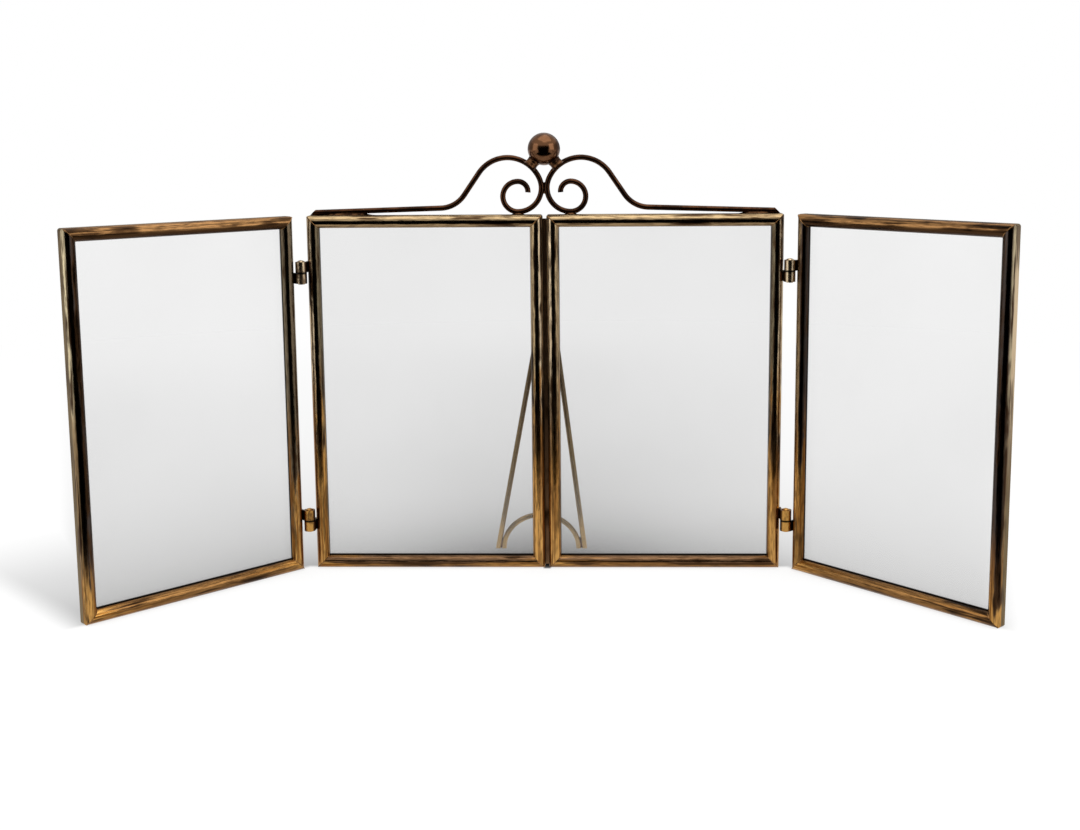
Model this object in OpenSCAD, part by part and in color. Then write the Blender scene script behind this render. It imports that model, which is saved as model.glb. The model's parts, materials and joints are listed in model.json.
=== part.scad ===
// Folding triptych frame: a centre leaf of two glass panes, two hinged wings and a wire easel

/* [Glass] */
// Width of one sheet of glass
glass_w = 106.5; // [90:0.5:130]
// Height of one sheet of glass
glass_h = 165; // [130:1:200]
// Thickness of one sheet, two of them in each pane
glass_t = 0.9; // [0.7:0.1:1.6]

/* [Rails] */
// Radius of the half-round bead round each pane
bead_r = 2.85; // [2.4:0.05:3.6]
// Depth of the straight wall between the bead and the glass
wall_d = 0.8; // [0.5:0.1:2.4]
// Thickness of the side web behind the bead
web_t = 0.8; // [0.6:0.1:1.2]
// Room left round the edge of the glass
glass_room = 0.2; // [0.1:0.05:0.4]
// Rounding of the outer corners of a pane
corner_r = 1.2; // [0.6:0.1:2]

/* [Glass tabs] */
// Thickness of the small tabs that hold the glass in from behind
tab_t = 0.4; // [0.3:0.05:0.8]
// Width of one tab
tab_w = 7; // [4:0.5:10]
// How far a tab stays short of the inner edge of the bead
tab_short = 2.5; // [1.5:0.1:3.2]

/* [Leaves] */
// Slit between the two panes of the centre leaf
slit = 1.8; // [1:0.1:3]
// Gap between the centre leaf and a wing, filled by the hinge barrels
hinge_gap = 5.2; // [4.6:0.1:6.4]
// Angle the left wing is folded forward
left_fold = 45.5; // [0:0.5:90]
// Angle the right wing is folded forward
right_fold = 46.5; // [0:0.5:90]

/* [Hinges] */
// Height of one knuckle
knuckle_h = 4.9; // [4:0.1:7]
// Radius of the hinge pin
pin_r = 1.1; // [0.8:0.05:1.3]
// Thickness of the leaf that is soldered to a rail
leaf_t = 0.9; // [0.6:0.1:1.2]
// Height of the lower hinge above the bottom edge
lower_inset = 18.8; // [12:0.2:30]
// Depth of the upper hinge below the top edge
upper_inset = 21; // [12:0.2:30]

/* [Crest] */
// Radius of the crest wire
crest_wire_r = 1.25; // [1:0.05:1.6]
// Rise of the long straight run towards the middle
run_slope = 1.7; // [1:0.1:2.5]
// Steepest angle of the wire as it climbs
climb = 55.5; // [50:0.5:66]
// Radius of the bend where the wire leaves the rail
foot_bend_r = 13.6; // [11:0.1:18]
// Radius of the big shoulder
shoulder_r = 15.9; // [14:0.1:19]
// Radius of the turn beside the middle line
side_turn_r = 10.8; // [9.5:0.1:13]
// Radius of the inner loop
loop_r = 6.9; // [5.5:0.1:8]
// Radius of the last curl
eye_r = 4.6; // [3.4:0.1:5.4]
// Radius of the ball on top
ball_r = 7.4; // [6:0.1:9]

/* [Easel] */
// Radius of the easel wire
easel_wire_r = 1.25; // [1:0.05:1.6]
// Height of the easel pivot above the table
pivot_z = 105.4; // [90:0.1:120]
// Angle between the easel legs and the upright frame
easel_lean = 13; // [8:0.5:16]
// Splay of the left leg
left_splay = 10.7; // [5:0.1:14]
// Splay of the right leg
right_splay = 6.4; // [5:0.1:14]
// Inside length of the pivot tube
tube_len = 4.2; // [3:0.1:6]
// Width of the strap that joins the two centre panes
strap_w = 10; // [8:0.5:14]
// Thickness of the strap
strap_t = 1; // [0.8:0.1:1.6]

/* [Hidden] */
$fn = 64;

// Outer size of a pane
pane_w = glass_w + 2 * (web_t + glass_room);
pane_h = glass_h + 2 * (web_t + glass_room);
face_w = 2 * bead_r;
glass_y = bead_r + wall_d;
rear_glass_y = glass_y + glass_t;
tab_y = rear_glass_y + glass_t;
depth = tab_y + tab_t;
tab_reach = face_w - web_t - tab_short;
cut = 1;

// Wing hinges: the axis stands just before the front plane so that a wing closes flat
axis_y = -0.2;
hinge_x = slit / 2 + pane_w + hinge_gap / 2;
barrel_r = hinge_gap / 2;
leaf_short = 1;
leaf_d = depth - axis_y - leaf_short;
pin_room = 0.05;
knuckle_room = 0.15;
end_room = 0.1;
stack_h = 2 * knuckle_h + knuckle_room;
head_r = (pin_r + barrel_r) / 2;
head_h = 0.7;
head_dome_r = (head_r * head_r + head_h * head_h) / (2 * head_h);
peen_lip = 0.4;
peen_r = pin_r + peen_lip;
peen_h = 0.3;
lower_z = lower_inset;
upper_z = pane_h - upper_inset - stack_h;

// Crest path, measured from the top of the rails
seat = 0.02;
touch = 0.03;
crest_y = (bead_r + depth) / 2;
wire_z = crest_wire_r + seat;
end_inset = 1.5;
end_slant = 45;
waste = 4 * crest_wire_r;
end_x = -(slit / 2 + pane_w - end_inset);
meet = 24;
side_x = -(crest_wire_r + touch) - side_turn_r;
side_z = wire_z + side_turn_r;
shoulder_x = side_x - (shoulder_r - side_turn_r) * cos(meet);
shoulder_z = side_z - (shoulder_r - side_turn_r) * sin(meet);
rise_x = shoulder_x - shoulder_r * sin(climb);
rise_z = shoulder_z + shoulder_r * cos(climb);
bend_dx = foot_bend_r * (sin(climb) - sin(run_slope));
bend_dz = foot_bend_r * (cos(run_slope) - cos(climb));
climb_drop = rise_z - bend_dz - wire_z - tan(run_slope) * (rise_x - bend_dx - end_x);
climb_len = climb_drop / (sin(climb) - tan(run_slope) * cos(climb));
run_len = (rise_x - climb_len * cos(climb) - bend_dx - end_x) / cos(run_slope);
eye_turn = 95;
crest_path = [
    [run_len, 0],
    [foot_bend_r, climb - run_slope],
    [climb_len, 0],
    [shoulder_r, meet - climb - 90],
    [side_turn_r, -90 - meet],
    [loop_r, -180],
    [eye_r, -eye_turn]
];

// Ball on two drops of solder
solder_gap = 1.3;
drop_r = 2;
ball_reach = shoulder_r + crest_wire_r + solder_gap + ball_r;
ball_z = shoulder_z + sqrt(ball_reach * ball_reach - shoulder_x * shoulder_x);
drop_share = (shoulder_r + crest_wire_r + solder_gap / 2) / ball_reach;
drop_x = shoulder_x * (1 - drop_share);
drop_z = shoulder_z + (ball_z - shoulder_z) * drop_share;

// Hair-thin sleeve over each place where a run meets a bend
joint_lap = 0.02;
joint_len = 0.3;

// Easel, worked out in its own plane from the pivot down
tube_wall = 0.9;
tube_bore_r = easel_wire_r + pin_room;
tube_r = tube_bore_r + tube_wall;
strap_y = depth;
strap_foot = 0.6;
strap_head = 2;
pivot_y = strap_y + strap_t + tube_r;
bend_r = 2.5;
tube_room = 0.8;
left_tangent = bend_r * tan((90 - left_splay) / 2);
right_tangent = bend_r * tan((90 - right_splay) / 2);
top_half = tube_len / 2 + tube_room + max(left_tangent, right_tangent);
fall = pivot_z / cos(easel_lean);
spare = 2;
left_leg = (fall + spare) / cos(left_splay);
right_leg = (fall + spare) / cos(right_splay);
left_foot_x = -top_half - fall * tan(left_splay);
right_foot_x = top_half + fall * tan(right_splay);
leg_path = [
    [left_leg - left_tangent, 0],
    [bend_r, left_splay - 90],
    [2 * top_half - left_tangent - right_tangent, 0],
    [bend_r, right_splay - 90],
    [right_leg - right_tangent, 0]
];
arch_x = (left_foot_x + right_foot_x) / 2;
arch_half = (right_foot_x - left_foot_x) / 2;
arch_r = arch_half * cos(max(left_splay, right_splay)) - 2 * easel_wire_r - touch;
arch_path = [[spare, 0], [arch_r, -180], [spare, 0]];
foot_y = pivot_y + pivot_z * tan(easel_lean);
sole_reach = spare + 4 * easel_wire_r;

// Middle of the footprint, which is the origin
left_reach = hinge_x + (barrel_r + pane_w) * cos(left_fold) + (depth - axis_y) * sin(left_fold);
right_reach = hinge_x + (barrel_r + pane_w) * cos(right_fold) + (depth - axis_y) * sin(right_fold);
function front_reach(a) = (barrel_r + pane_w - bead_r) * sin(a) - (bead_r - axis_y) * cos(a) + bead_r;
front_y = axis_y - max(front_reach(left_fold), front_reach(right_fold));
back_y = foot_y + easel_wire_r;
mid_x = round((right_reach - left_reach) / 2);
mid_y = round((front_y + back_y) / 2);

brass_color = [0.66, 0.47, 0.22];
dark_brass_color = [0.45, 0.31, 0.16];
hinge_color = [0.52, 0.38, 0.18];
wire_color = [0.62, 0.52, 0.36];
solder_color = [0.5, 0.42, 0.32];
glass_color = [0.8, 0.86, 0.86, 0.35];

// Where each leaf stands
module placed() {
    translate([-mid_x, -mid_y, 0]) children();
}

module on_centre_left() {
    placed() translate([-slit / 2 - pane_w, 0, 0]) children();
}

module on_centre_right() {
    placed() translate([slit / 2, 0, 0]) children();
}

module at_left_axis(fold) {
    placed() translate([-hinge_x, axis_y, 0]) rotate([0, 0, fold]) children();
}

module at_right_axis(fold) {
    placed() translate([hinge_x, axis_y, 0]) rotate([0, 0, -fold]) children();
}

module on_left_wing() {
    at_left_axis(left_fold) translate([-barrel_r - pane_w, -axis_y, 0]) children();
}

module on_right_wing() {
    at_right_axis(right_fold) translate([barrel_r, -axis_y, 0]) children();
}

// Rail section: half-round bead with a short straight wall, and a thin web behind it on the outer side
module rail_section() {
    intersection() {
        translate([bead_r, bead_r]) circle(r = bead_r);
        square([face_w, bead_r]);
    }
    translate([0, bead_r]) square([face_w, wall_d]);
    translate([0, bead_r]) square([web_t, depth - bead_r]);
}

// What is cut away to round an outer corner
module corner_waste() {
    difference() {
        translate([-cut, -cut]) square([corner_r + cut, corner_r + cut]);
        translate([corner_r, corner_r]) circle(r = corner_r);
    }
}

// Outline of a mitred rail, seen from the front
module mitre_outline(length) {
    inner = face_w + cut;
    difference() {
        polygon([[-cut, -cut], [inner, inner], [inner, length - inner], [-cut, length + cut]]);
        corner_waste();
        translate([0, length]) rotate(-90) corner_waste();
    }
}

module mitred_rail(length) {
    intersection() {
        linear_extrude(height = length) rail_section();
        translate([0, depth + cut, 0]) rotate([90, 0, 0])
            linear_extrude(height = depth + 2 * cut) mitre_outline(length);
    }
}

// The four rails of a pane
module left_side_rail() {
    mitred_rail(pane_h);
}

module right_side_rail() {
    translate([pane_w, 0, pane_h]) rotate([0, 180, 0]) mitred_rail(pane_h);
}

module top_side_rail() {
    translate([0, 0, pane_h]) rotate([0, 90, 0]) mitred_rail(pane_w);
}

module bottom_side_rail() {
    translate([pane_w, 0, 0]) rotate([0, -90, 0]) mitred_rail(pane_w);
}

// One sheet of glass
module sheet(y) {
    edge = web_t + glass_room;
    translate([edge, y, edge]) cube([glass_w, glass_t, glass_h]);
}

// Six tabs round the back of a pane
module pane_tabs() {
    far_x = pane_w - web_t - tab_reach;
    far_z = pane_h - web_t - tab_reach;
    for (z = [pane_h / 4, pane_h * 3 / 4]) {
        translate([web_t, tab_y, z - tab_w / 2]) cube([tab_reach, tab_t, tab_w]);
        translate([far_x, tab_y, z - tab_w / 2]) cube([tab_reach, tab_t, tab_w]);
    }
    translate([(pane_w - tab_w) / 2, tab_y, web_t]) cube([tab_w, tab_t, tab_reach]);
    translate([(pane_w - tab_w) / 2, tab_y, far_z]) cube([tab_w, tab_t, tab_reach]);
}

// Knuckle with its leaf: the leaf lies on the side of the rail it is soldered to
module knuckle(z, leaf_x) {
    translate([0, 0, z]) difference() {
        union() {
            cylinder(r = barrel_r, h = knuckle_h);
            translate([leaf_x, 0, 0]) cube([leaf_t, leaf_d, knuckle_h]);
        }
        translate([0, 0, -cut]) cylinder(r = pin_r + pin_room, h = knuckle_h + 2 * cut);
    }
}

leaf_on_right = barrel_r - leaf_t;
leaf_on_left = -barrel_r;
second = knuckle_h + knuckle_room;

// Pin with a domed head on top and a small peened end below
module hinge_pin(z) {
    head_z = stack_h + end_room;
    translate([0, 0, z]) {
        translate([0, 0, -end_room]) cylinder(r = pin_r, h = stack_h + 2 * end_room);
        translate([0, 0, -end_room - peen_h]) cylinder(r = peen_r, h = peen_h);
        intersection() {
            translate([0, 0, head_z + head_h - head_dome_r]) sphere(r = head_dome_r);
            translate([0, 0, head_z]) cylinder(r = head_r + cut, h = head_h + cut);
        }
    }
}

// Sleeve round the place where two steps of a wire meet
module joint_sleeve(r) {
    translate([-joint_len / 2, 0, 0]) rotate([0, 90, 0]) cylinder(r = r + joint_lap, h = joint_len);
}

// Wire laid along a path of straight runs and bends: each step is [length or radius, turn]
module wire(path, r, i = 0) {
    if (i < len(path)) {
        size = path[i][0];
        turn = path[i][1];
        if (i > 0) joint_sleeve(r);
        if (turn == 0) {
            rotate([0, 90, 0]) cylinder(r = r, h = size);
            translate([size, 0, 0]) wire(path, r, i + 1);
        } else {
            hand = turn > 0 ? 1 : -1;
            from = turn > 0 ? -90 : 90 + turn;
            translate([0, hand * size, 0]) rotate([0, 0, from])
                rotate_extrude(angle = abs(turn)) translate([size, 0]) circle(r = r);
            translate([size * sin(abs(turn)), hand * size * (1 - cos(turn)), 0])
                rotate([0, 0, turn]) wire(path, r, i + 1);
        }
    }
}

// The path with every turn the other way
function turned(path) = [for (step = path) [step[0], -step[1]]];

// What is cut from the outer end of a scroll, on a slant
module end_waste() {
    translate([-waste, -waste / 2, 0]) cube([2 * waste, waste, waste]);
}

// Crest scroll, its outer end cut at a slant
module scroll_left() {
    difference() {
        translate([end_x, crest_y, pane_h + wire_z]) rotate([90, 0, 0])
            rotate([0, 0, run_slope]) wire(crest_path, crest_wire_r);
        translate([end_x, crest_y, pane_h]) rotate([0, -end_slant, 0]) end_waste();
    }
}

module scroll_right() {
    difference() {
        translate([-end_x, crest_y, pane_h + wire_z]) rotate([90, 0, 0])
            rotate([0, 0, 180 - run_slope]) wire(turned(crest_path), crest_wire_r);
        translate([-end_x, crest_y, pane_h]) rotate([0, end_slant, 0]) end_waste();
    }
}

// A drop of solder between a shoulder and the ball
module solder_drop(side) {
    difference() {
        translate([side * drop_x, crest_y, pane_h + drop_z]) sphere(r = drop_r);
        translate([0, crest_y, pane_h + ball_z]) sphere(r = ball_r + seat);
        translate([side * shoulder_x, crest_y, pane_h + shoulder_z]) rotate([90, 0, 0])
            rotate_extrude() translate([shoulder_r, 0]) circle(r = crest_wire_r + seat);
    }
}

// Easel plane, and what would stand below the table
module easel_plane() {
    translate([0, pivot_y, pivot_z]) rotate([easel_lean, 0, 0]) rotate([90, 0, 0]) children();
}

module below_table() {
    feet_w = right_foot_x - left_foot_x;
    translate([left_foot_x - sole_reach, foot_y - sole_reach, -sole_reach])
        cube([feet_w + 2 * sole_reach, 2 * sole_reach, sole_reach]);
}

module left_wing_top_rail() {
    color(brass_color) on_left_wing() top_side_rail();
}

module left_wing_bottom_rail() {
    color(brass_color) on_left_wing() bottom_side_rail();
}

module left_wing_outer_rail() {
    color(brass_color) on_left_wing() left_side_rail();
}

module left_wing_hinge_rail() {
    color(brass_color) on_left_wing() right_side_rail();
}

module left_wing_front_glass() {
    color(glass_color) on_left_wing() sheet(glass_y);
}

module left_wing_rear_glass() {
    color(glass_color) on_left_wing() sheet(rear_glass_y);
}

module left_wing_tabs() {
    color(brass_color) on_left_wing() pane_tabs();
}

module left_wing_upper_knuckle() {
    color(hinge_color) at_left_axis(left_fold) knuckle(upper_z, leaf_on_left);
}

module left_wing_lower_knuckle() {
    color(hinge_color) at_left_axis(left_fold) knuckle(lower_z + second, leaf_on_left);
}

module centre_left_top_rail() {
    color(brass_color) on_centre_left() top_side_rail();
}

module centre_left_bottom_rail() {
    color(brass_color) on_centre_left() bottom_side_rail();
}

module centre_left_outer_rail() {
    color(brass_color) on_centre_left() left_side_rail();
}

module centre_left_inner_rail() {
    color(brass_color) on_centre_left() right_side_rail();
}

module centre_left_front_glass() {
    color(glass_color) on_centre_left() sheet(glass_y);
}

module centre_left_rear_glass() {
    color(glass_color) on_centre_left() sheet(rear_glass_y);
}

module centre_left_tabs() {
    color(brass_color) on_centre_left() pane_tabs();
}

module centre_left_upper_knuckle() {
    color(hinge_color) at_left_axis(0) knuckle(upper_z + second, leaf_on_right);
}

module centre_left_lower_knuckle() {
    color(hinge_color) at_left_axis(0) knuckle(lower_z, leaf_on_right);
}

module centre_right_top_rail() {
    color(brass_color) on_centre_right() top_side_rail();
}

module centre_right_bottom_rail() {
    color(brass_color) on_centre_right() bottom_side_rail();
}

module centre_right_outer_rail() {
    color(brass_color) on_centre_right() right_side_rail();
}

module centre_right_inner_rail() {
    color(brass_color) on_centre_right() left_side_rail();
}

module centre_right_front_glass() {
    color(glass_color) on_centre_right() sheet(glass_y);
}

module centre_right_rear_glass() {
    color(glass_color) on_centre_right() sheet(rear_glass_y);
}

module centre_right_tabs() {
    color(brass_color) on_centre_right() pane_tabs();
}

module centre_right_upper_knuckle() {
    color(hinge_color) at_right_axis(0) knuckle(upper_z, leaf_on_left);
}

module centre_right_lower_knuckle() {
    color(hinge_color) at_right_axis(0) knuckle(lower_z + second, leaf_on_left);
}

module right_wing_top_rail() {
    color(brass_color) on_right_wing() top_side_rail();
}

module right_wing_bottom_rail() {
    color(brass_color) on_right_wing() bottom_side_rail();
}

module right_wing_outer_rail() {
    color(brass_color) on_right_wing() right_side_rail();
}

module right_wing_hinge_rail() {
    color(brass_color) on_right_wing() left_side_rail();
}

module right_wing_front_glass() {
    color(glass_color) on_right_wing() sheet(glass_y);
}

module right_wing_rear_glass() {
    color(glass_color) on_right_wing() sheet(rear_glass_y);
}

module right_wing_tabs() {
    color(brass_color) on_right_wing() pane_tabs();
}

module right_wing_upper_knuckle() {
    color(hinge_color) at_right_axis(right_fold) knuckle(upper_z + second, leaf_on_right);
}

module right_wing_lower_knuckle() {
    color(hinge_color) at_right_axis(right_fold) knuckle(lower_z, leaf_on_right);
}

module left_upper_pin() {
    color(hinge_color) at_left_axis(0) hinge_pin(upper_z);
}

module left_lower_pin() {
    color(hinge_color) at_left_axis(0) hinge_pin(lower_z);
}

module right_upper_pin() {
    color(hinge_color) at_right_axis(0) hinge_pin(upper_z);
}

module right_lower_pin() {
    color(hinge_color) at_right_axis(0) hinge_pin(lower_z);
}

// Strap behind the slit, soldered to the backs of the two inner rails
module centre_strap() {
    color(brass_color) placed() translate([-strap_w / 2, strap_y, strap_foot])
        cube([strap_w, strap_t, pane_h - strap_head - strap_foot]);
}

module crest_left_scroll() {
    color(dark_brass_color) placed() scroll_left();
}

module crest_right_scroll() {
    color(dark_brass_color) placed() scroll_right();
}

module ball_finial() {
    color(dark_brass_color) placed() translate([0, crest_y, pane_h + ball_z]) sphere(r = ball_r);
}

module finial_solder() {
    color(solder_color) placed() {
        solder_drop(1);
        solder_drop(-1);
    }
}

// Pivot tube on a foot soldered to the strap
module easel_tube() {
    seat_y = strap_y + strap_t;
    color(hinge_color) placed() difference() {
        union() {
            translate([-tube_len / 2, pivot_y, pivot_z]) rotate([0, 90, 0])
                cylinder(r = tube_r, h = tube_len);
            translate([-tube_len / 2, seat_y, pivot_z - tube_r]) cube([tube_len, tube_r, 2 * tube_r]);
        }
        translate([-tube_len / 2 - cut, pivot_y, pivot_z]) rotate([0, 90, 0])
            cylinder(r = tube_bore_r, h = tube_len + 2 * cut);
    }
}

// One bent wire: the top run turns in the pivot tube, the legs end flat on the table
module easel_legs() {
    start_x = -top_half - (fall + spare) * tan(left_splay);
    color(wire_color) placed() difference() {
        easel_plane() translate([start_x, -fall - spare, 0]) rotate([0, 0, 90 - left_splay])
            wire(leg_path, easel_wire_r);
        below_table();
    }
}

// Arch soldered between the two feet
module easel_arch() {
    color(wire_color) placed() difference() {
        easel_plane() translate([arch_x - arch_r, -fall - spare, 0]) rotate([0, 0, 90])
            wire(arch_path, easel_wire_r);
        below_table();
    }
}

left_wing_top_rail();
left_wing_bottom_rail();
left_wing_outer_rail();
left_wing_hinge_rail();
left_wing_front_glass();
left_wing_rear_glass();
left_wing_tabs();
left_wing_upper_knuckle();
left_wing_lower_knuckle();
centre_left_top_rail();
centre_left_bottom_rail();
centre_left_outer_rail();
centre_left_inner_rail();
centre_left_front_glass();
centre_left_rear_glass();
centre_left_tabs();
centre_left_upper_knuckle();
centre_left_lower_knuckle();
centre_right_top_rail();
centre_right_bottom_rail();
centre_right_outer_rail();
centre_right_inner_rail();
centre_right_front_glass();
centre_right_rear_glass();
centre_right_tabs();
centre_right_upper_knuckle();
centre_right_lower_knuckle();
right_wing_top_rail();
right_wing_bottom_rail();
right_wing_outer_rail();
right_wing_hinge_rail();
right_wing_front_glass();
right_wing_rear_glass();
right_wing_tabs();
right_wing_upper_knuckle();
right_wing_lower_knuckle();
left_upper_pin();
left_lower_pin();
right_upper_pin();
right_lower_pin();
centre_strap();
crest_left_scroll();
crest_right_scroll();
ball_finial();
finial_solder();
easel_tube();
easel_legs();
easel_arch();
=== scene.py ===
import json
import math

import bmesh
import bpy
from mathutils import Matrix, Vector


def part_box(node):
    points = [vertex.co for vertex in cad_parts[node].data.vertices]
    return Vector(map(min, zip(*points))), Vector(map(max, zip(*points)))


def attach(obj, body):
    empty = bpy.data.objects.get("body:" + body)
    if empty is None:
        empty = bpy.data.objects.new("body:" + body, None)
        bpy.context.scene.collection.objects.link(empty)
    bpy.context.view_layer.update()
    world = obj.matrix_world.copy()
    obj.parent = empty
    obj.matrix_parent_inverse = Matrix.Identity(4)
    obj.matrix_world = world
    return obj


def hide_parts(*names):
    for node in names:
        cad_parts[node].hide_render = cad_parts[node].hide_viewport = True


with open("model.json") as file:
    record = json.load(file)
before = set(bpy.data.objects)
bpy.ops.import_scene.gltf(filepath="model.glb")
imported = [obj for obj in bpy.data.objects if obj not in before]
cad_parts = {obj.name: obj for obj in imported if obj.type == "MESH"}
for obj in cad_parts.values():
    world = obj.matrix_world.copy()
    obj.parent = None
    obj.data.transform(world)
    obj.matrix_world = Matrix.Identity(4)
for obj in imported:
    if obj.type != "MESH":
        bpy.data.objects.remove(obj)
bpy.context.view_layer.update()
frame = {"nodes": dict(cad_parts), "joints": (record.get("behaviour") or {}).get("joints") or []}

# Sizes in metres, repeated from the part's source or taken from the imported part
MM = 0.001
BEAD_R = 2.85 * MM
WALL = 0.8 * MM
DEPTH = 5.85 * MM
WIRE_R = 1.25 * MM
LEAF_T = 0.9 * MM
EASEL_LEAN = 13

outer_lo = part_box("centre_left_outer_rail")[0]
inner_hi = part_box("centre_left_inner_rail")[1]
PANE_W = inner_hi.x - outer_lo.x
PANE_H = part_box("centre_left_top_rail")[1].z
FRONT_Y = inner_hi.y - DEPTH
SLIT_X = (inner_hi.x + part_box("centre_right_inner_rail")[0].x) / 2

# The lip that holds the glass, in millimetres as the finishes count: its reach inwards and its rear face
LIP_IN = 2 * BEAD_R / MM
LIP_BACK = (BEAD_R + WALL) / MM

# Which rail stands on which side of each pane, and the body each pane rides on
RAIL_SIDES = {
    "left_wing": {"left": "outer", "right": "hinge"},
    "centre_left": {"left": "outer", "right": "inner"},
    "centre_right": {"left": "inner", "right": "outer"},
    "right_wing": {"left": "hinge", "right": "outer"},
}
BODIES = {
    "left_wing": "left_wing",
    "centre_left": "centre",
    "centre_right": "centre",
    "right_wing": "right_wing",
}

# Colours of the metal as linear values
CREAM_BRASS = (0.85, 0.72, 0.46, 1)
PALE_BRASS = (0.76, 0.59, 0.38, 1)
BEIGE_BRASS = (0.48, 0.34, 0.18, 1)
TAN_BRASS = (0.36, 0.24, 0.12, 1)
STRAW_BRASS = (0.52, 0.38, 0.21, 1)
SIDE_BRASS = (0.21, 0.145, 0.065, 1)
SAGE_BRASS = (0.28, 0.22, 0.14, 1)
OLIVE_BRASS = (0.2, 0.16, 0.095, 1)
BROWN_BRASS = (0.21, 0.115, 0.058, 1)
LIGHT_GOLD = (0.58, 0.3, 0.075, 1)
FOOT_GOLD = (0.7, 0.37, 0.1, 1)
DEEP_GOLD = (0.27, 0.105, 0.017, 1)
WARM_GOLD = (0.28, 0.14, 0.046, 1)
BROWN_GOLD = (0.34, 0.175, 0.066, 1)
DULL_GOLD = (0.25, 0.12, 0.038, 1)
FOOT_BEIGE = (0.42, 0.28, 0.12, 1)
WIRE_BEIGE = (0.25, 0.175, 0.09, 1)
WIRE_BROWN = (0.16, 0.11, 0.06, 1)
COPPER_BROWN = (0.16, 0.075, 0.036, 1)
SOLDER_BROWN = (0.13, 0.06, 0.026, 1)
RUSSET = (0.085, 0.036, 0.017, 1)
PLUM_BROWN = (0.06, 0.048, 0.042, 1)
UMBER = (0.06, 0.028, 0.011, 1)
DARK_BRONZE = (0.03, 0.014, 0.008, 1)
BLACK_PATINA_AND_SHADE = (0.006, 0.0035, 0.002, 1)

NOWHERE = -99


class RailTone:
    """How a rail is coloured and worn, with lengths in millimetres.

    The outer and the inner half of its front have their own tones, partly patina and partly a painted
    reflection of the room, and meet at a place across it in a painted dark reflection line as dark as
    painted_band; a share of it is under patina. It is rubbed to gold as far up from the table as gold_to, or
    as far in from the corners of a lying rail. Lower than dull_below, the outer half and the side lose their
    painted highlight and are duller.
    """

    def __init__(self, outer, inner, meet, painted_band, cover, gold_to, dull_below=NOWHERE, side=SIDE_BRASS):
        self.outer = outer
        self.inner = inner
        self.meet = meet
        self.painted_band = painted_band
        self.cover = cover
        self.gold_to = gold_to
        self.dull_below = dull_below
        self.side = side


# The rails by their place
RAIL_TONES = {
    "centre_outer": RailTone(PALE_BRASS, OLIVE_BRASS, meet=2.4, painted_band=0.5, cover=0.4, gold_to=72),
    "centre_inner": RailTone(PALE_BRASS, STRAW_BRASS, meet=2.6, painted_band=0.5, cover=0.4, gold_to=84),
    # The wings' outer rails carry a painted highlight on the outer half and a painted dark reflection on the
    # inner
    "left_wing_outer": RailTone(
        CREAM_BRASS, PLUM_BROWN, meet=0.6, painted_band=0.4, cover=0.65, gold_to=4, dull_below=76
    ),
    # The right wing's outer side is painted pale, as a side lit from the right
    "right_wing_outer": RailTone(
        CREAM_BRASS, PLUM_BROWN, meet=-0.1, painted_band=0.4, cover=0.65, gold_to=8, dull_below=76, side=PALE_BRASS
    ),
    # The two wings' hinge rails are lit and shaded copies: the left one painted lighter, the right one darker
    "left_wing_hinge": RailTone(SAGE_BRASS, SAGE_BRASS, meet=2.8, painted_band=0.5, cover=0.3, gold_to=48),
    "right_wing_hinge": RailTone(TAN_BRASS, PLUM_BROWN, meet=3.2, painted_band=0.3, cover=0.35, gold_to=50),
    "centre_top": RailTone(BEIGE_BRASS, TAN_BRASS, meet=2.8, painted_band=0.6, cover=0.4, gold_to=NOWHERE),
    "wing_top": RailTone(BROWN_GOLD, UMBER, meet=2.9, painted_band=0.2, cover=0.55, gold_to=NOWHERE),
    "centre_bottom": RailTone(DULL_GOLD, BROWN_BRASS, meet=2.9, painted_band=0.9, cover=0.15, gold_to=2),
    "wing_bottom": RailTone(DULL_GOLD, WARM_GOLD, meet=2.4, painted_band=0.1, cover=0.35, gold_to=4),
}


def fold_joint(name):
    """The record's joint of that name."""
    return next(j for j in frame["joints"] if j["name"] == name)


def wing_place(side):
    """Matrix from a wing's own frame to the row frame; at its upper limit a wing lies flat on the centre."""
    joint = fold_joint(f"{side}_wing_fold")
    axis = Vector(joint["pos_m"])
    fold = math.radians(180 - joint["range_deg"][1])
    ahead = FRONT_Y - axis.y
    barrel_r = outer_lo.x - fold_joint("left_wing_fold")["pos_m"][0]
    if side == "left":
        turn, corner = fold, Vector((-barrel_r - PANE_W, ahead, 0))
    else:
        turn, corner = -fold, Vector((barrel_r, ahead, 0))
    axis.z = 0
    return Matrix.Translation(axis) @ Matrix.Rotation(turn, 4, "Z") @ Matrix.Translation(corner)


# Matrix from each pane's own frame, with its origin at the lower left front corner, to the row frame
PLACES = {
    "left_wing": wing_place("left"),
    "centre_left": Matrix.Translation((outer_lo.x, FRONT_Y, 0)),
    "centre_right": Matrix.Translation((2 * SLIT_X - inner_hi.x, FRONT_Y, 0)),
    "right_wing": wing_place("right"),
}

# From a pane's frame to a rail's: along the rail, in from its outer edge, back from the front
RAIL_TURNS = {
    "left": Matrix(((0, 0, 1, 0), (1, 0, 0, 0), (0, 1, 0, 0), (0, 0, 0, 1))),
    "right": Matrix(((0, 0, -1, PANE_H), (-1, 0, 0, PANE_W), (0, 1, 0, 0), (0, 0, 0, 1))),
    "top": Matrix(((1, 0, 0, 0), (0, 0, -1, PANE_H), (0, 1, 0, 0), (0, 0, 0, 1))),
    "bottom": Matrix(((-1, 0, 0, PANE_W), (0, 0, 1, 0), (0, 1, 0, 0), (0, 0, 0, 1))),
}


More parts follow.
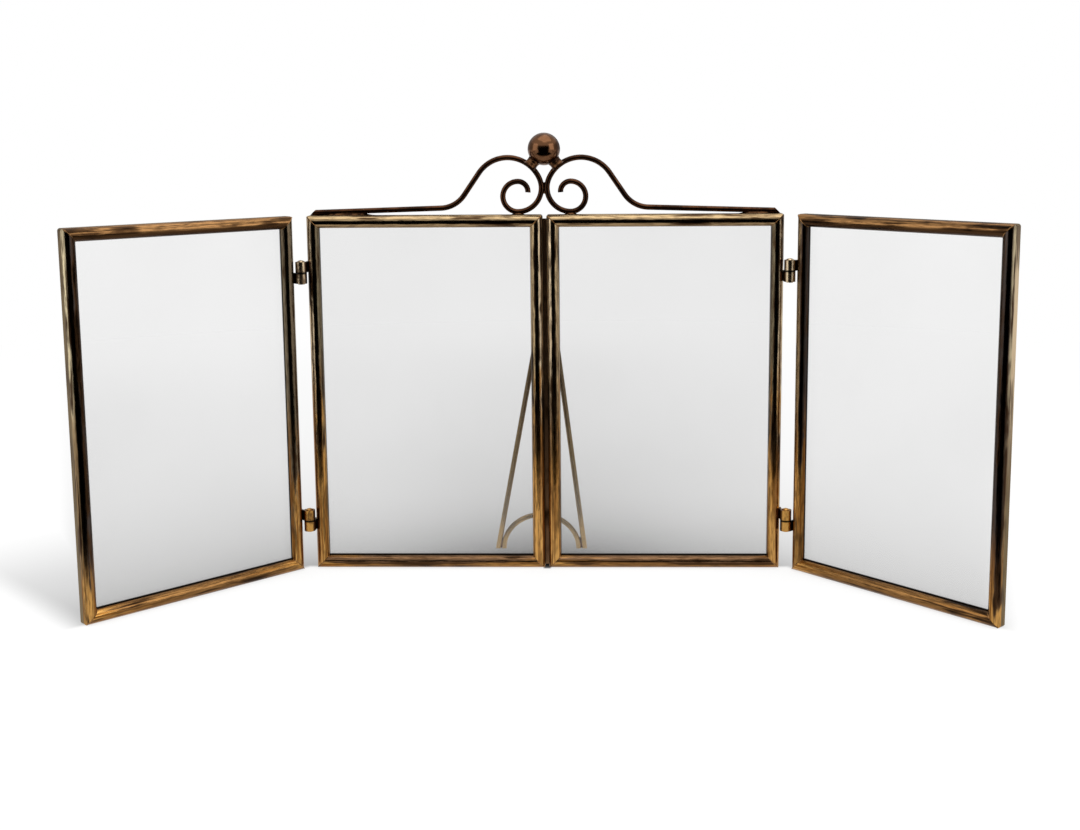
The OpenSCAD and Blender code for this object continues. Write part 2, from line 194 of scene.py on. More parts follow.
class Nodes:
    """The shader nodes of one tree, with lengths in millimetres."""

    def __init__(self, tree):
        self.tree = tree
        self.tree.nodes.clear()

    def node(self, kind, inputs=(), **settings):
        """A new node with its inputs linked or set."""
        made = self.tree.nodes.new(kind)
        for name, value in settings.items():
            setattr(made, name, value)
        for key, value in dict(inputs).items():
            self.put(made.inputs[key], value)
        return made

    def put(self, socket, value):
        """Links a socket, or sets it to a constant."""
        if isinstance(value, bpy.types.NodeSocket):
            self.tree.links.new(value, socket)
        else:
            socket.default_value = value

    def placed(self, matrix=None):
        """Object coordinates in millimetres, seen from the frame that matrix leads to."""
        matrix = matrix or Matrix.Identity(4)
        where = self.node("ShaderNodeTexCoord").outputs["Object"]
        inputs = {
            "Vector": where,
            "Location": matrix.to_translation() / MM,
            "Rotation": matrix.to_euler(),
            "Scale": (1 / MM, 1 / MM, 1 / MM),
        }
        return self.node("ShaderNodeMapping", inputs).outputs[0]

    def parts(self, vector):
        """X, Y and Z of a vector."""
        return self.node("ShaderNodeSeparateXYZ", {0: vector}).outputs

    def noise(self, place, scale, seed, detail=3.0, distortion=0.0):
        """Noise from 0 to 1 whose scale is per millimetre along each axis."""
        inputs = {"Vector": place, "Scale": scale, "Location": (seed, seed * 1.7, -seed)}
        vector = self.node("ShaderNodeMapping", inputs).outputs[0]
        inputs = {"Vector": vector, "Scale": 1.0, "Detail": detail, "Distortion": distortion}
        return self.node("ShaderNodeTexNoise", inputs).outputs["Fac"]

    def maths(self, operation, a, b=0.0):
        """A Math node's result."""
        return self.node("ShaderNodeMath", {0: a, 1: b}, operation=operation).outputs[0]

    def plus(self, a, b):
        return self.maths("ADD", a, b)

    def less(self, a, b):
        return self.maths("SUBTRACT", a, b)

    def times(self, a, b):
        return self.maths("MULTIPLY", a, b)

    def most(self, a, b):
        return self.maths("MAXIMUM", a, b)

    def apart(self, a, b):
        """Distance between two values."""
        return self.maths("ABSOLUTE", self.less(a, b))

    def span(self, value, low, high, to_low=0.0, to_high=1.0):
        """Smooth step of value from low to high."""
        inputs = {"Value": value, "From Min": low, "From Max": high, "To Min": to_low, "To Max": to_high}
        made = self.node("ShaderNodeMapRange", inputs, interpolation_type="SMOOTHSTEP")
        return made.outputs[0]

    def sway(self, noise, reach, low=0.3, high=0.7):
        """Noise made to swing from -reach to reach."""
        return self.span(noise, low, high, -reach, reach)

    def blend(self, factor, a, b):
        """Colour a, turning to b as factor goes to 1."""
        made = self.node("ShaderNodeMix", data_type="RGBA")
        self.put(made.inputs[0], factor)
        self.put(made.inputs[6], a)
        self.put(made.inputs[7], b)
        return made.outputs[2]

    def bump(self, height, depth):
        """Normal of a surface whose height rises by depth millimetres."""
        inputs = {"Height": height, "Distance": depth * MM, "Strength": 1.0}
        return self.node("ShaderNodeBump", inputs).outputs[0]

    def mixed(self, factor, a, b):
        """Shader a, turning to b as factor goes to 1."""
        return self.node("ShaderNodeMixShader", {0: factor, 1: a, 2: b}).outputs[0]

    def glow(self, strength):
        """White light of that strength."""
        return self.node("ShaderNodeEmission", {"Strength": strength}).outputs[0]

    def matt(self, colour):
        """Matt paint, dust or dirt of that colour."""
        return self.node("ShaderNodeBsdfDiffuse", {"Color": colour}).outputs[0]


class Finish(Nodes):
    """A material and the nodes that make it."""

    def __init__(self, name):
        self.material = bpy.data.materials.new(name)
        self.material.use_nodes = True
        super().__init__(self.material.node_tree)

    def surface(self, shader):
        """The finished material."""
        self.node("ShaderNodeOutputMaterial", {"Surface": shader})
        return self.material

    def metal(self, colour, roughness, normal):
        """The finished material, as metal."""
        inputs = {"Base Color": colour, "Metallic": 1.0, "Roughness": roughness, "Normal": normal}
        return self.surface(self.node("ShaderNodeBsdfPrincipled", inputs).outputs[0])


# Noise of the rails, per millimetre along the rail, across it and back from its front
LINES = (0.018, 0.9, 0.9)
PATCHES = (0.055, 0.3, 0.3)
ZONES = (0.022, 0.05, 0.05)
GRAIN = (0.18, 1.7, 1.7)
DENTS = (0.05, 0.17, 0.17)
DENT_DEPTH = 0.35

# How far the borders of the worn places swing to and fro, and how soft they are, in millimetres
MEET_SWAY, MEET_SOFT = 0.6, 0.5
DULL_SWAY, DULL_SOFT = 25, 25
GOLD_SWAY, GOLD_SOFT = 22, 20

# Wear at which a rail with no cover starts to turn brown and black, and is so; full cover takes off a part
BROWN_FROM, BROWN_AT = 0.62, 0.78
BLACK_FROM, BLACK_AT = 0.74, 0.9
COVER_SHARE = 0.3
FLANK_ROUGH = 0.45


def rail_brass(name, rail, level, tone, seed):
    """Antiqued brass of one rail: worn patches, fine lines along it, gold where it is rubbed, painted
    reflection and shade.

    level is the length of a lying rail, and 0 for a standing one.
    """
    f = Finish(name)
    place = f.placed(rail)
    along, across, back = f.parts(place)
    middle = level / MM / 2
    reach = f.less(middle, f.apart(along, middle)) if level else f.parts(f.placed())[2]
    line = f.noise(place, LINES, seed, detail=2)
    patch = f.noise(place, PATCHES, seed + 7, detail=4, distortion=0.3)
    zone = f.noise(place, ZONES, seed + 17, detail=2)
    grain = f.noise(place, GRAIN, seed + 13, detail=4)
    dent = f.noise(place, DENTS, seed + 21)

    # Clean metal: the two halves of the front, partly patina and partly painted reflection, and gold at the
    # foot
    wear = f.plus(patch, f.sway(line, 0.16, 0.25, 0.75))
    wear = f.plus(wear, f.sway(zone, 0.12))
    edge = f.plus(across, f.sway(wear, MEET_SWAY))
    bright = f.plus(reach, f.sway(wear, DULL_SWAY))
    bright = f.span(bright, tone.dull_below - DULL_SOFT, tone.dull_below + DULL_SOFT)
    outer = f.blend(bright, TAN_BRASS, tone.outer)
    brass = f.blend(f.span(edge, tone.meet - MEET_SOFT, tone.meet + MEET_SOFT), outer, tone.inner)
    rubbed = f.blend(f.span(line, 0.4, 0.6), DEEP_GOLD, FOOT_GOLD)
    foot = f.plus(reach, f.sway(wear, GOLD_SWAY))
    foot = f.span(foot, tone.gold_to - GOLD_SOFT, tone.gold_to + GOLD_SOFT, 0.95, 0.0)
    brass = f.blend(foot, brass, rubbed)

    # Patina, thinner at the foot, and the painted dark reflection line between the halves
    covered = COVER_SHARE * tone.cover
    patina = f.span(wear, BROWN_FROM - covered, BROWN_AT - covered, 0.0, 0.92)
    patina = f.times(patina, f.span(foot, 0, 1, 1.0, 0.6))
    black = f.span(wear, BLACK_FROM - covered, BLACK_AT - covered)
    black = f.times(black, f.span(foot, 0, 1, 1.0, 0.35))
    colour = f.blend(black, f.blend(patina, brass, UMBER), BLACK_PATINA_AND_SHADE)
    painted_dark_band = f.span(f.apart(edge, tone.meet), 0.2, 0.9, tone.painted_band, 0.0)
    painted_dark_band = f.times(painted_dark_band, f.span(foot, 0, 1, 1.0, 0.2))
    colour = f.blend(f.most(painted_dark_band, f.span(grain, 0.42, 0.68, 0.0, 0.6)), colour, UMBER)

    # The side and the rear faces, and painted shade in the rebate inside
    rear = f.span(back, LIP_BACK - 0.06, LIP_BACK - 0.02)
    side = f.times(f.span(back, 2.6, 3.3), f.span(across, 0.2, 0.5, 1.0, 0.0))
    flank = f.blend(bright, SIDE_BRASS, tone.side)
    flank = f.blend(f.span(wear, 0.4, 0.65, 0.0, 0.8), flank, UMBER)
    rebate_shade = f.times(f.span(across, 0.4, 0.7), f.span(back, 2.7, 2.95))
    rebate_shade = f.times(rebate_shade, f.less(1.0, rear))
    colour = f.blend(rebate_shade, f.blend(f.most(side, rear), colour, flank), BLACK_PATINA_AND_SHADE)

    dull = f.span(across, 0.2, 1.4, FLANK_ROUGH, 0.0)
    dull = f.most(dull, f.span(across, 4.3, 5.5, 0.0, FLANK_ROUGH))
    rough = f.plus(f.span(patina, 0, 1, 0.13, 0.24), f.span(grain, 0.3, 0.7, 0.0, 0.07))
    rough = f.most(rough, f.most(dull, f.times(rebate_shade, 0.5)))
    relief = f.plus(dent, f.times(grain, 0.06))
    return f.metal(colour, rough, f.bump(relief, DENT_DEPTH))


def patched_brass(name, clean, worn, cover, roughness, grain, seed):
    """Brass of a small piece: soft patches of a worn colour on a clean one."""
    f = Finish(name)
    place = f.placed()
    patch = f.noise(place, (grain,) * 3, seed)
    mottle = f.noise(place, (4 * grain,) * 3, seed + 5)
    tone = f.plus(patch, f.sway(mottle, 0.06, 0.25, 0.75))
    patina = f.span(tone, 0.62 - 0.4 * cover, 0.82 - 0.4 * cover)
    colour = f.blend(patina, clean, worn)
    rough = f.span(patina, 0, 1, roughness, roughness + 0.1)
    rough = f.plus(rough, f.span(mottle, 0.3, 0.7, 0.0, 0.06))
    return f.metal(colour, rough, f.bump(mottle, 0.03))


def hinge_brass(name, level, clean, worn, seed):
    """Brass of the upper or lower hinges, with painted shade beside the barrel and where two knuckles meet.
    """
    tops = [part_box(f"{pane}_{level}_knuckle")[1].z / MM for pane in ("centre_left", "left_wing")]
    axes = [fold_joint(f"{side}_wing_fold")["pos_m"][0] / MM for side in ("left", "right")]
    f = Finish(name)
    place = f.placed()
    x, y, z = f.parts(place)
    patch = f.noise(place, (0.25, 0.25, 0.12), seed)
    grain = f.noise(place, (1.2, 1.2, 0.7), seed + 5)
    beside = f.maths("MINIMUM", f.apart(x, axes[0]), f.apart(x, axes[1]))
    tone = f.plus(patch, f.sway(grain, 0.08, 0.25, 0.75))
    # Painted shade beside the barrel, taken in with the patina
    patina = f.most(f.span(tone, 0.45, 0.7, 0.0, 0.8), f.span(beside, 1.5, 2.3))
    # Painted shade in the gap where two knuckles meet
    joint = f.span(f.apart(z, min(tops)), 0.25, 0.7, 0.95, 0.0)
    colour = f.blend(joint, f.blend(patina, clean, worn), BLACK_PATINA_AND_SHADE)
    rough = f.plus(f.span(patina, 0, 1, 0.2, 0.34), f.span(grain, 0.3, 0.7, 0.0, 0.06))
    return f.metal(colour, rough, f.bump(grain, 0.04))


def easel_brass(name, seed):
    """Brass of the easel wire: worn pale at the feet and dull towards the pivot."""
    f = Finish(name)
    place = f.placed()
    patch = f.noise(place, (0.2, 0.2, 0.08), seed)
    grain = f.noise(place, (0.9, 0.9, 0.5), seed + 5)
    height = f.plus(f.parts(place)[2], f.sway(patch, 8, 0.25, 0.75))
    colour = f.blend(f.span(height, 4, 22), FOOT_BEIGE, WIRE_BEIGE)
    colour = f.blend(f.span(height, 45, 90), colour, WIRE_BROWN)
    colour = f.blend(f.span(grain, 0.45, 0.75, 0.0, 0.4), colour, OLIVE_BRASS)
    rough = f.span(grain, 0.3, 0.7, 0.28, 0.38)
    return f.metal(colour, rough, f.bump(grain, 0.03))


# Glass: what it lets through, its gloss, its mirroring face on and at a grazing angle, dust, and painted
# shade along the rails
CLEAR = (0.94, 0.94, 0.94, 1)
GLOSS = 0.2
MIRROR_FACE_ON, MIRROR_GRAZING = 0.035, 0.9
DUST = (0.55, 0.54, 0.52, 1)
EDGE_SHADE = (0.012, 0.007, 0.004, 1)


def pane_glass(name, place):
    """Clear glass with a film of dust that thickens downwards, a few smudges, and painted shade along the
    rails.
    """
    f = Finish(name)
    where = f.placed(place.inverted())
    across, back, height = f.parts(where)
    cloud = f.noise(where, (0.02, 0.02, 0.02), 3)
    smear = f.noise(where, (0.09, 0.09, 0.03), 11, detail=5, distortion=1.5)
    film = f.plus(f.span(height, 0, 90, 0.05, 0.0), f.span(cloud, 0.35, 0.7, 0.0, 0.015))
    film = f.plus(film, f.span(smear, 0.6, 0.8, 0.0, 0.015))

    # Painted shade: a dark line on the front of the glass along the inner edge of the rails' lips
    below = f.span(height, LIP_IN + 0.4, LIP_IN + 0.9, 1.0, 0.0)
    below = f.times(below, f.span(height, LIP_IN - 0.6, LIP_IN - 0.2))
    middle = PANE_W / MM / 2
    aside = f.less(f.apart(across, middle), middle - LIP_IN)
    beside = f.times(f.span(aside, -0.3, -0.1, 0.0, 0.7), f.span(aside, 0.2, 0.6, 1.0, 0.0))
    front = f.span(back, LIP_BACK + 0.2, LIP_BACK + 0.5, 1.0, 0.0)
    edge_shade = f.times(f.most(below, beside), front)

    facing = f.node("ShaderNodeLayerWeight", {"Blend": 0.5}).outputs["Facing"]
    mirror = f.span(f.maths("POWER", facing, 4.0), 0, 1, MIRROR_FACE_ON, MIRROR_GRAZING)
    clear = f.node("ShaderNodeBsdfTransparent", {"Color": CLEAR}).outputs[0]
    shine = f.node("ShaderNodeBsdfGlossy", {"Color": (1, 1, 1, 1), "Roughness": GLOSS}).outputs[0]
    pane = f.mixed(film, f.mixed(mirror, clear, shine), f.matt(DUST))
    return f.surface(f.mixed(edge_shade, pane, f.matt(EDGE_SHADE)))


def piece(name, bm, body, material, smooth=True):
    """A new piece from a bmesh in the row frame, riding on a body."""
    bmesh.ops.remove_doubles(bm, verts=bm.verts, dist=1e-7)
    bmesh.ops.recalc_face_normals(bm, faces=bm.faces)
    mesh = bpy.data.meshes.new(name)
    bm.to_mesh(mesh)
    bm.free()
    mesh.materials.append(material)
    for polygon in mesh.polygons:
        polygon.use_smooth = smooth
    made = bpy.data.objects.new(name, mesh)
    bpy.context.scene.collection.objects.link(made)
    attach(made, body)
    return made


def dress(node, material):
    """Gives a CAD node its finish."""
    slots = frame["nodes"][node].data.materials
    slots.clear()
    slots.append(material)


ARRIS = 0.15 * MM


def glass_pair(pane):
    """The two sheets of a pane as one body of glass with arrised edges, so that no false faces lie inside."""
    place = PLACES[pane]
    front_lo, front_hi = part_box("centre_left_front_glass")
    rear_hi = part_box("centre_left_rear_glass")[1]
    lo = PLACES["centre_left"].inverted() @ front_lo
    hi = PLACES["centre_left"].inverted() @ Vector((front_hi.x, rear_hi.y, front_hi.z))
    bm = bmesh.new()
    bmesh.ops.create_cube(bm, size=1)
    bmesh.ops.scale(bm, vec=hi - lo, verts=bm.verts)
    edges = list(bm.edges)
    bmesh.ops.bevel(bm, geom=edges, offset=ARRIS, affect="EDGES", segments=2, profile=0.5, material=-1)
    bmesh.ops.translate(bm, vec=(lo + hi) / 2, verts=bm.verts)
    bmesh.ops.transform(bm, matrix=place, verts=bm.verts)
    glass = pane_glass(f"glass of {pane}", place)
    made = piece(f"{pane}_glass_pair", bm, BODIES[pane], glass, smooth=False)
    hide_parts(f"{pane}_front_glass", f"{pane}_rear_glass")


SEED_STEP = 3.7


def dress_rails():
    """Each rail has its own streaks, laid along it."""
    seed = 1.0
    for pane, sides in RAIL_SIDES.items():
        leaf = "wing" if pane.endswith("wing") else "centre"
        for side in ("top", "bottom", "left", "right"):
            rail = RAIL_TURNS[side] @ PLACES[pane].inverted()
            kind = sides.get(side, side)
            node = f"{pane}_{kind}_rail"
            tone = RAIL_TONES.get(f"{pane}_{kind}") or RAIL_TONES[f"{leaf}_{kind}"]
            level = 0 if kind in sides.values() else PANE_W
            dress(node, rail_brass(f"brass of {node}", rail, level, tone, seed))
            seed += SEED_STEP


def dress_fittings(solder):
    """Hinges, crest, easel and the small pieces behind."""
    upper_hinge = hinge_brass("upper hinge brass", "upper", PALE_BRASS, RUSSET, seed=2)
    lower_hinge = hinge_brass("lower hinge brass", "lower", LIGHT_GOLD, RUSSET, seed=6)
    crest = patched_brass(
        "crest bronze", RUSSET, DARK_BRONZE, cover=0.55, roughness=0.2, grain=0.09, seed=5
    )
    ball = patched_brass(
        "ball bronze", COPPER_BROWN, RUSSET, cover=0.45, roughness=0.14, grain=0.12, seed=9
    )
    easel = easel_brass("easel wire brass", seed=17)
    tube = patched_brass("tube brass", BROWN_GOLD, UMBER, cover=0.4, roughness=0.25, grain=0.3, seed=19)
    tab = patched_brass("tab brass", BROWN_GOLD, UMBER, cover=0.4, roughness=0.3, grain=0.3, seed=23)
    strap = patched_brass(
        "strap brass", BROWN_BRASS, UMBER, cover=0.3, roughness=0.42, grain=0.06, seed=29
    )
    for pane in RAIL_SIDES:
        dress(f"{pane}_upper_knuckle", upper_hinge)
        dress(f"{pane}_lower_knuckle", lower_hinge)
        dress(f"{pane}_tabs", tab)
    for side in ("left", "right"):
        dress(f"{side}_upper_pin", upper_hinge)
        dress(f"{side}_lower_pin", lower_hinge)
        dress(f"crest_{side}_scroll", crest)
    dress("ball_finial", ball)
    dress("finial_solder", solder)
    dress("centre_strap", strap)
    dress("easel_tube", tube)
    dress("easel_legs", easel)
    dress("easel_arch", easel)


# Mitre seams: thickness, how deep they lie in the bead, and where round the bead they run, in degrees
SEAM_R, SEAM_SINK = 0.25 * MM, 0.08 * MM
SEAM_FROM, SEAM_TO = 35, 170

# The crest's wires, repeated from the part's source: loops, shoulders and outer ends
LOOP_X, LOOP_R = 12.08 * MM, 10.8 * MM
SHOULDER_X, SHOULDER_Z = 16.74 * MM, 10 * MM
SHOULDER_R = 15.9 * MM
END_INSET = 1.5 * MM
CREST_BACK = (BEAD_R + DEPTH) / 2

# Solder: how far a neck is in from its foot, each drop's length, width and height, and each waist's length
# and width
NECK, BALL_NECK = 0.55, 0.66
LOOP_DROP = (7.4 * MM, 3.9 * MM, 1.1 * MM)
END_RUNS = {-1: 33 * MM, 1: 21 * MM}
END_DROP_W, END_DROP_H = 4 * MM, 1.3 * MM
BALL_WAIST, BALL_WAIST_UP = (4.4 * MM, 8.4 * MM), 0.65 * MM
MEETING_WAIST = (5.2 * MM, 1.9 * MM)
HINGE_DROP_BACK, HINGE_DROP_W, HINGE_DROP_MORE = 3.9 * MM, 3.6 * MM, 1.6 * MM
TUBE_DROP_W, TUBE_DROP_H = 6 * MM, 1.2 * MM
FOOT_WAIST, FOOT_Z = (5 * MM, 2.1 * MM), 3 * MM


def lay_in(bm, part, matrix):
    """Puts a finished shape into a piece."""
    bmesh.ops.transform(part, matrix=matrix, verts=part.verts)
    mesh = bpy.data.meshes.new("part")
    part.to_mesh(mesh)
    part.free()
    bm.from_mesh(mesh)
    bpy.data.meshes.remove(mesh)


def solder_drop(length, width, height, neck=NECK):
    """A drop of solder on its own Z axis, with a hollow flank from a wide foot up to the neck."""
    bm = bmesh.new()
    foot = bmesh.ops.create_vert(bm, co=(0, 0, -1))["vert"]
    bmesh.ops.spin(bm, geom=foot, cent=(0, 0, 0), axis=(0, 1, 0), angle=math.pi / 2, steps=8)
    bmesh.ops.scale(bm, vec=(1 - neck, 1, 1), verts=bm.verts)
    bmesh.ops.translate(bm, vec=(1, 0, 1), verts=bm.verts)
    flank = list(bm.verts) + list(bm.edges)
    bmesh.ops.spin(bm, geom=flank, cent=(0, 0, 0), axis=(0, 0, 1), angle=math.tau, steps=36, use_merge=True)
    bmesh.ops.holes_fill(bm, edges=bm.edges, sides=0)
    bmesh.ops.scale(bm, vec=(length / 2, width / 2, height), verts=bm.verts)
    return bm


def solder_waist(length, width, neck=NECK):
    """Solder that fills the two grooves between wires side by side: drops neck to neck along Z."""
    bm = bmesh.new()
    for turn in (0, math.pi):
        half = Matrix.Rotation(turn, 4, "X") @ Matrix.Translation((0, 0, -length / 2))
        lay_in(bm, solder_drop(width, width, length / 2, neck), half)
    return bm


def mitre_seam():
    """A thread of solder over the bead along a mitre: X on the diagonal, Z to the front."""
    bm = bmesh.new()
    bmesh.ops.create_circle(bm, segments=10, radius=SEAM_R)
    bmesh.ops.translate(bm, vec=(SEAM_SINK - BEAD_R, 0, 0), verts=bm.verts)
    start = Matrix.Rotation(math.radians(SEAM_FROM), 3, "Y")
    bmesh.ops.rotate(bm, cent=(0, 0, 0), matrix=start, verts=bm.verts)
    ring = list(bm.verts) + list(bm.edges)
    sweep = math.radians(SEAM_TO - SEAM_FROM)
    bmesh.ops.spin(bm, geom=ring, cent=(0, 0, 0), axis=(0, 1, 0), angle=sweep, steps=20)
    bmesh.ops.holes_fill(bm, edges=bm.edges, sides=0)
    bmesh.ops.scale(bm, vec=(math.sqrt(2), 1, 1), verts=bm.verts)
    return bm


def corner_seams(pane, solder):
    """The four mitres of a pane, each with its seam."""
    to_front = Matrix.Rotation(math.pi / 2, 4, "X")
    inward = Matrix.Translation((math.sqrt(2) * BEAD_R, 0, 0))
    bm = bmesh.new()
    for quarter, (x, z) in enumerate(((0, 0), (PANE_W, 0), (PANE_W, PANE_H), (0, PANE_H))):
        diagonal = Matrix.Rotation(math.radians(45 + 90 * quarter), 4, "Z")
        corner = Matrix.Translation((x, BEAD_R, z))
        lay_in(bm, mitre_seam(), PLACES[pane] @ corner @ to_front @ diagonal @ inward)
    piece(f"{pane}_corner_seams", bm, BODIES[pane], solder)


def crest_solder(solder):
    """Solder under the crest's outer ends and loops, under the ball, and where the scrolls meet."""
    y = FRONT_Y + CREST_BACK
    end_x = inner_hi.x - PANE_W + END_INSET
    bm = bmesh.new()
    for side, run in END_RUNS.items():
        loop = Vector((SLIT_X + side * LOOP_X, y, PANE_H))
        lay_in(bm, solder_drop(*LOOP_DROP), Matrix.Translation(loop))
        end = Vector((SLIT_X + side * (SLIT_X - end_x - run / 2), y, PANE_H))
        lay_in(bm, solder_drop(run, END_DROP_W, END_DROP_H), Matrix.Translation(end))
    ball_lo, ball_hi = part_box("ball_finial")
    ball = (ball_lo + ball_hi) / 2
    for side in (-1, 1):
        shoulder = Vector((SLIT_X + side * SHOULDER_X, y, PANE_H + SHOULDER_Z))
        rise = (ball - shoulder).normalized()
        spot = Matrix.Translation(shoulder + rise * (SHOULDER_R + WIRE_R + BALL_WAIST_UP))
        upright = rise.to_track_quat("Z", "Y").to_matrix().to_4x4()
        lay_in(bm, solder_waist(*BALL_WAIST, BALL_NECK), spot @ upright)
    meeting = Vector((SLIT_X, y, PANE_H + WIRE_R + LOOP_R))
    lay_in(bm, solder_waist(*MEETING_WAIST), Matrix.Translation(meeting))
    piece("crest_solder", bm, "centre", solder)


def hinge_solder(pane, solder):
    """Solder that has run out above and below the hinge leaves, on the side of the rail behind the barrel."""
    x, out = (0, -1) if pane in ("centre_left", "right_wing") else (PANE_W, 1)
    outward = Matrix.Rotation(out * math.pi / 2, 4, "Y")
    bm = bmesh.new()
    for level in ("upper", "lower"):
        lo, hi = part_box(f"{pane}_{level}_knuckle")
        spot = Matrix.Translation((x, HINGE_DROP_BACK, (lo.z + hi.z) / 2))
        drop = solder_drop(hi.z - lo.z + HINGE_DROP_MORE, HINGE_DROP_W, LEAF_T)
        lay_in(bm, drop, PLACES[pane] @ spot @ outward)
    piece(f"{pane}_hinge_solder", bm, BODIES[pane], solder)


def easel_solder(solder):
    """Solder under the pivot tube on the strap, and between leg and arch at the two feet."""
    pivot = Vector(fold_joint("easel_fold")["pos_m"])
    tube_lo, tube_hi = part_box("easel_tube")
    bm = bmesh.new()
    seat = Matrix.Translation((pivot.x, tube_lo.y, pivot.z)) @ Matrix.Rotation(-math.pi / 2, 4, "X")
    lay_in(bm, solder_drop(tube_hi.x - tube_lo.x, TUBE_DROP_W, TUBE_DROP_H), seat)
    piece("tube_solder", bm, "centre", solder)

    arch_lo, arch_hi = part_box("easel_arch")
    lean = math.radians(EASEL_LEAN)
    y = pivot.y + (pivot.z - FOOT_Z) * math.tan(lean)
    bm = bmesh.new()
    for x in (arch_lo.x, arch_hi.x):
        foot = Matrix.Translation((x, y, FOOT_Z))
        lay_in(bm, solder_waist(*FOOT_WAIST), foot @ Matrix.Rotation(lean, 4, "X"))
    piece("easel_foot_solder", bm, "easel", solder)


# Table, in millimetres: where the lamp would stand that the painted shade is laid out from, how far the shade
#  reaches, the slope of its rays at the left edge, the right edge, a paler part on the right and the darkest
#  place, and how dark it is
LAMP_X, LAMP_Y = 28, -622
SHADE_REACH = 75
LEFT_RAYS = (-0.41, -0.385)
RIGHT_RAYS = (0.27, 0.31)
PALE_RAYS, PALE_SHARE = (0.1, 0.16), 0.66
DARK_RAY, DARK_RAYS_OFF = -0.042, 0.16
SHADE_MOST, SHADE_LEAST = 0.92, 0.53

# What metal and glass mirror of the table: it is dark in front, and wider so the farther from the frame
DARK_SIDE, DARK_FRONT = 340, -130
WIDER_FROM, WIDER_BY = -400.0, 0.8
MIRRORED_LIGHT = 0.85
TABLE_SIZE = 6.0
TABLE_MATT, TABLE_GLOW = 0.25, 0.78
TABLE_FADE = (500, 900)


def table_shade(f):
    """Painted soft shade on the table behind the leaves, laid out as if cast by a lamp in front; 1 is white.
    """
    x, y = f.parts(f.placed())[:2]
    left_x, left_y = f.parts(f.placed(PLACES["left_wing"].inverted()))[:2]
    centre_y = f.parts(f.placed(PLACES["centre_left"].inverted()))[1]
    right_y = f.parts(f.placed(PLACES["right_wing"].inverted()))[1]
    depth = f.less(f.most(f.most(left_y, centre_y), right_y), DEPTH / MM)
    ray = f.maths("DIVIDE", f.less(x, LAMP_X), f.less(y, LAMP_Y))
    left = f.most(f.span(ray, *LEFT_RAYS), f.span(depth, 60, 180, 1.0, 0.0))
    left = f.times(left, f.span(left_x, -12, 8))
    right = f.times(f.span(ray, *RIGHT_RAYS, 1.0, 0.0), f.span(ray, *PALE_RAYS, 1.0, PALE_SHARE))
    middle = f.span(f.apart(ray, DARK_RAY), 0.0, DARK_RAYS_OFF, SHADE_MOST, SHADE_LEAST)
    strength = f.times(f.times(left, middle), right)
    strength = f.times(strength, f.span(depth, -5, 0))
    fall = f.plus(f.maths("DIVIDE", f.most(depth, 0.0), SHADE_REACH), 1.0)
    shade = f.less(1.0, f.maths("DIVIDE", strength, fall))

    # Painted shade on the table at the foot of the slit between the centre panes
    slit = f.span(f.apart(x, SLIT_X / MM), 1.0, 2.4, 1.0, 0.0)
    slit = f.times(slit, f.span(depth, -DEPTH / MM - 1, 2 - DEPTH / MM))
    slit = f.times(slit, f.span(depth, 3, 9, 0.9, 0.0))
    return f.times(shade, f.less(1.0, slit))


def table_finish():
    """White table with the frame's painted shade on it; to metal and glass it is dark in front, like the
    room.
    """
    f = Finish("white table")
    path = f.node("ShaderNodeLightPath").outputs
    seen = f.most(path["Is Camera Ray"], path["Is Transmission Ray"])
    place = f.placed()
    x, y = f.parts(place)[:2]
    away = f.most(f.less(WIDER_FROM, y), 0.0)
    aside = f.less(f.maths("ABSOLUTE", x), f.times(away, WIDER_BY))
    side = f.span(aside, DARK_SIDE - 40, DARK_SIDE + 40)
    lit = f.most(side, f.span(y, DARK_FRONT - 25, DARK_FRONT + 25))
    mirrored = f.glow(f.span(lit, 0, 1, 0.0, MIRRORED_LIGHT))
    unseen = f.mixed(path["Is Glossy Ray"], f.matt((0.8, 0.8, 0.8, 1)), mirrored)

    shade = table_shade(f)
    paint = {0: f.matt(f.times(shade, TABLE_MATT)), 1: f.glow(f.times(shade, TABLE_GLOW))}
    near = f.node("ShaderNodeAddShader", paint).outputs[0]
    reach = f.node("ShaderNodeVectorMath", {0: place}, operation="LENGTH").outputs["Value"]
    table = f.mixed(f.span(reach, *TABLE_FADE), near, f.glow(1.0))
    return f.surface(f.mixed(seen, unseen, table))


def table_top():
    bm = bmesh.new()
    bmesh.ops.create_grid(bm, x_segments=2, y_segments=2, size=TABLE_SIZE / 2)
    mesh = bpy.data.meshes.new("table")
    bm.to_mesh(mesh)
    bm.free()
    mesh.materials.append(table_finish())
    table = bpy.data.objects.new("table", mesh)
    bpy.context.scene.collection.objects.link(table)


# Soft lamps: place, width and radiance; all are turned to the middle of the frame
LAMPS = {
    "overhead softbox": ((0.1, -0.1, 1.15), 1.1, 1.15),
    "right softbox": ((1.0, -0.55, 0.5), 0.8, 1.5),
    "left softbox": ((-1.0, -0.45, 0.45), 0.8, 1.1),
}
LAMP_AIM = Vector((0, 0, 0.09))


def studio_lights():
    for name, (spot, size, radiance) in LAMPS.items():
        lamp = bpy.data.lights.new(name, "AREA")
        lamp.size = size
        lamp.energy = radiance * math.pi * size * size
        made = bpy.data.objects.new(name, lamp)
        made.location = spot
        made.rotation_euler = (LAMP_AIM - Vector(spot)).to_track_quat("-Z", "Y").to_euler()
        made.visible_camera = False
        bpy.context.scene.collection.objects.link(made)


# Light of the room from all round and from above, and between which parts of a direction it sets in
ROOM_LIGHT, ROOM_EDGE = 0.4, (-0.82, -0.64)
CEILING_LIGHT, CEILING_EDGE = 0.85, (0.3, 0.5)


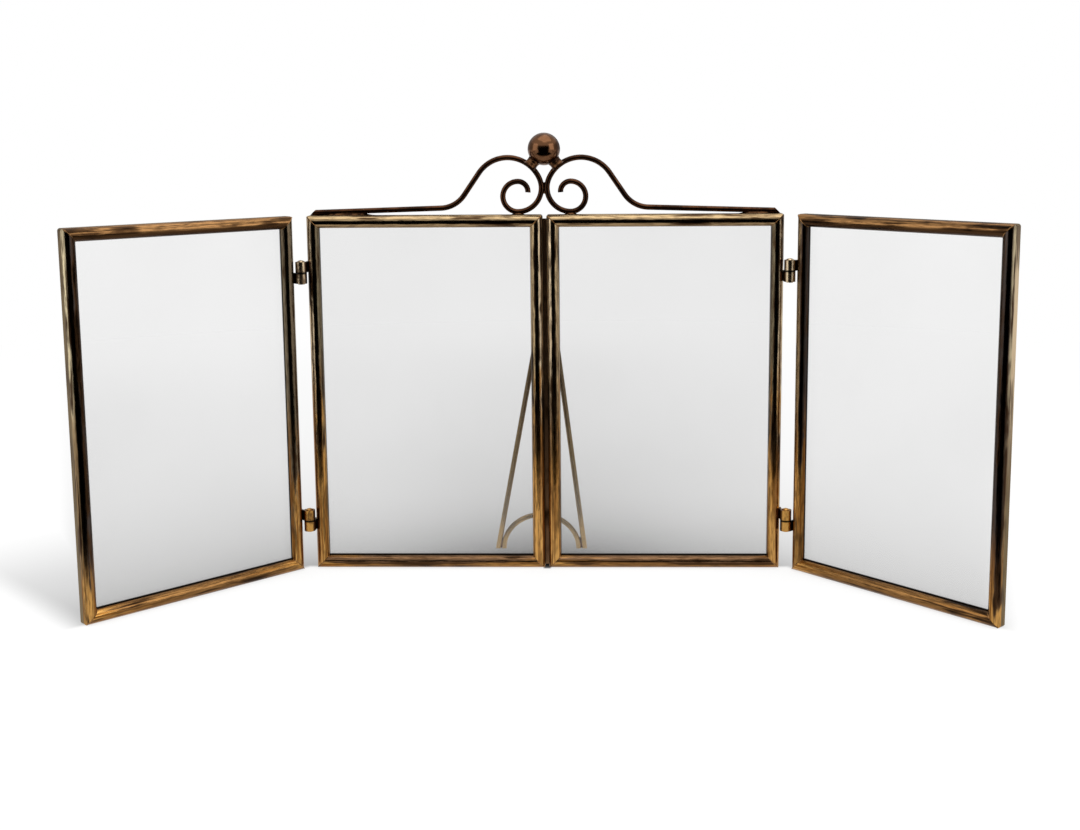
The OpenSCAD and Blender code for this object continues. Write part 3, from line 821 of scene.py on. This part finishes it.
def studio_world():
    """White all round to the eye; to lamps and metal the room is dark in front, round the camera."""
    world = bpy.data.worlds.new("studio")
    bpy.context.scene.world = world
    world.use_nodes = True
    n = Nodes(world.node_tree)
    x, y, z = n.parts(n.node("ShaderNodeTexCoord").outputs["Generated"])
    room = n.most(n.span(y, *ROOM_EDGE, 0.0, ROOM_LIGHT), n.span(z, *CEILING_EDGE, 0.0, CEILING_LIGHT))
    path = n.node("ShaderNodeLightPath").outputs
    seen = n.most(path["Is Camera Ray"], path["Is Transmission Ray"])
    inputs = {"Color": (1, 1, 1, 1), "Strength": n.most(seen, room)}
    background = n.node("ShaderNodeBackground", inputs).outputs[0]
    n.node("ShaderNodeOutputWorld", {"Surface": background})


# Camera, at the photograph's view; the optical axis lies a little right of and above the picture's middle
EYE = (27.469 * MM, -606.481 * MM, 203.459 * MM)
PAN, TILT, ROLL = 1.3376, -8.3527, -0.3672
LENS, SENSOR = 45.923, 36
SHIFT_X, SHIFT_Y = -0.02842, -0.07307
NEAREST = 0.01


def photo_camera():
    camera = bpy.data.cameras.new("camera")
    camera.lens = LENS
    camera.sensor_width = SENSOR
    camera.shift_x = SHIFT_X
    camera.shift_y = SHIFT_Y
    camera.clip_start = NEAREST
    made = bpy.data.objects.new("camera", camera)
    turn = Matrix.Rotation(math.radians(PAN), 4, "Z")
    turn = turn @ Matrix.Rotation(math.radians(90 + TILT), 4, "X")
    turn = turn @ Matrix.Rotation(math.radians(ROLL), 4, "Z")
    made.matrix_world = Matrix.Translation(EYE) @ turn
    bpy.context.scene.collection.objects.link(made)
    bpy.context.scene.camera = made


photo_camera()
solder_finish = patched_brass(
    "solder", SOLDER_BROWN, DARK_BRONZE, cover=0.5, roughness=0.28, grain=0.3, seed=12
)
seam_finish = patched_brass("seam brass", BROWN_GOLD, UMBER, cover=0.4, roughness=0.2, grain=0.3, seed=31)
dress_rails()
dress_fittings(solder_finish)
for pane in RAIL_SIDES:
    glass_pair(pane)
    corner_seams(pane, seam_finish)
    hinge_solder(pane, solder_finish)
crest_solder(solder_finish)
easel_solder(solder_finish)
table_top()
studio_lights()
studio_world()
bpy.context.scene.view_settings.view_transform = "Standard"
